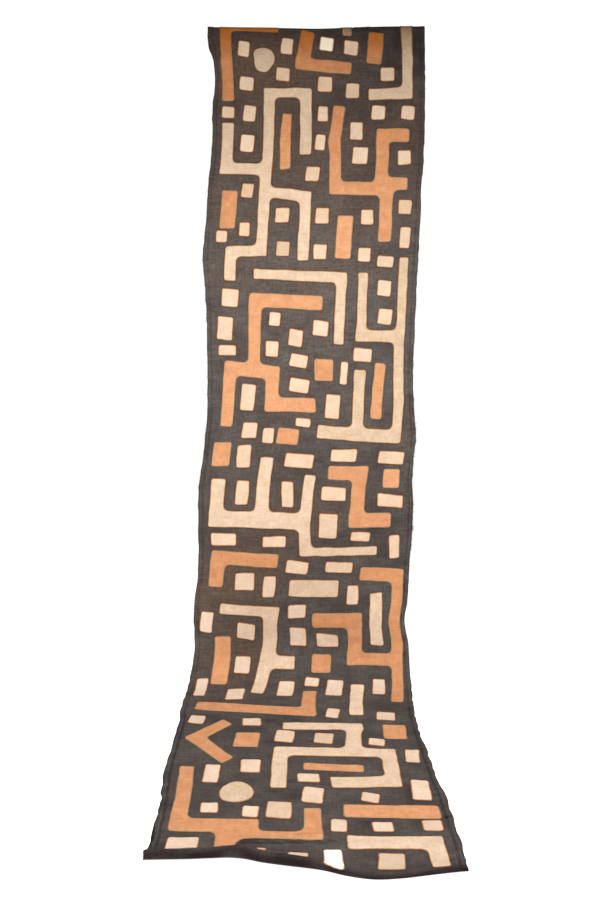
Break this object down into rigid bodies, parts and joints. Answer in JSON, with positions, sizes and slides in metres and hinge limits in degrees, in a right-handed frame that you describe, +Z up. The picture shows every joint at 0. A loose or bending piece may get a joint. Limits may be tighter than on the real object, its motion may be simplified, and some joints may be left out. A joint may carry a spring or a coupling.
{
  "type": "kuba raffia cloth",
  "caption": "Long dark raffia cloth with sewn-on tan, orange and cream pieces in bars, hooks and squares, hung over its top edge with the lower end on the floor and folded under.",
  "frame": {"origin": "middle of the top fold's crest, on its outer face", "axes": "+X to the right across the cloth, -Y to the front, where the face and the lower end show, +Z up"},
  "size_m": [0.6807, 0.8463, 1.8875],
  "materials": {
    "ground_raffia": "matte woven raffia, dyed charcoal brown",
    "tan_raffia": "matte woven raffia, tan",
    "orange_raffia": "matte woven raffia, dyed orange",
    "cream_raffia": "matte woven raffia, cream"
  },
  "bodies": {
    "root": {"cream_tile_a": "cream_raffia", "cream_tile_b": "cream_raffia", "cream_tile_c": "cream_raffia", "cream_tile_d": "cream_raffia", "cream_tile_e": "cream_raffia", "cream_tile_f": "cream_raffia", "cream_tile_g": "cream_raffia", "cream_tile_h": "cream_raffia", "cream_tile_i": "cream_raffia", "cream_tile_j": "cream_raffia", "cream_tile_k": "cream_raffia", "cream_tile_l": "cream_raffia", "cream_tile_m": "cream_raffia", "cream_tile_n": "cream_raffia", "cream_tile_o": "cream_raffia", "cream_tile_p": "cream_raffia", "cream_tile_q": "cream_raffia", "cream_tile_r": "cream_raffia", "cream_tile_s": "cream_raffia", "orange_bar_a": "orange_raffia", "orange_bar_b": "orange_raffia", "orange_bar_c": "orange_raffia", "orange_bar_d": "orange_raffia", "orange_bar_e": "orange_raffia", "orange_bar_f": "orange_raffia", "orange_bar_g": "orange_raffia", "orange_bar_h": "orange_raffia", "orange_chevron": "orange_raffia", "orange_crane": "orange_raffia", "orange_elbow": "orange_raffia", "orange_frame": "orange_raffia", "orange_gate": "orange_raffia", "orange_hook": "orange_raffia", "orange_keel": "orange_raffia", "orange_square": "orange_raffia", "orange_step": "orange_raffia", "orange_tile_a": "orange_raffia", "orange_tile_b": "orange_raffia", "orange_tile_c": "orange_raffia", "orange_tile_d": "orange_raffia", "orange_tile_e": "orange_raffia", "orange_tile_f": "orange_raffia", "orange_tile_g": "orange_raffia", "orange_wrench": "orange_raffia", "raffia_ground": "ground_raffia", "tan_angle": "tan_raffia", "tan_comb": "tan_raffia", "tan_corner": "tan_raffia", "tan_crook": "tan_raffia", "tan_hook": "tan_raffia", "tan_ladder": "tan_raffia", "tan_lintel": "tan_raffia", "tan_maze": "tan_raffia", "tan_plank": "tan_raffia", "tan_post": "tan_raffia", "tan_round_a": "tan_raffia", "tan_round_b": "tan_raffia", "tan_slat": "tan_raffia", "tan_stub": "tan_raffia", "tan_tree": "tan_raffia"}
  },
  "joints": []
}
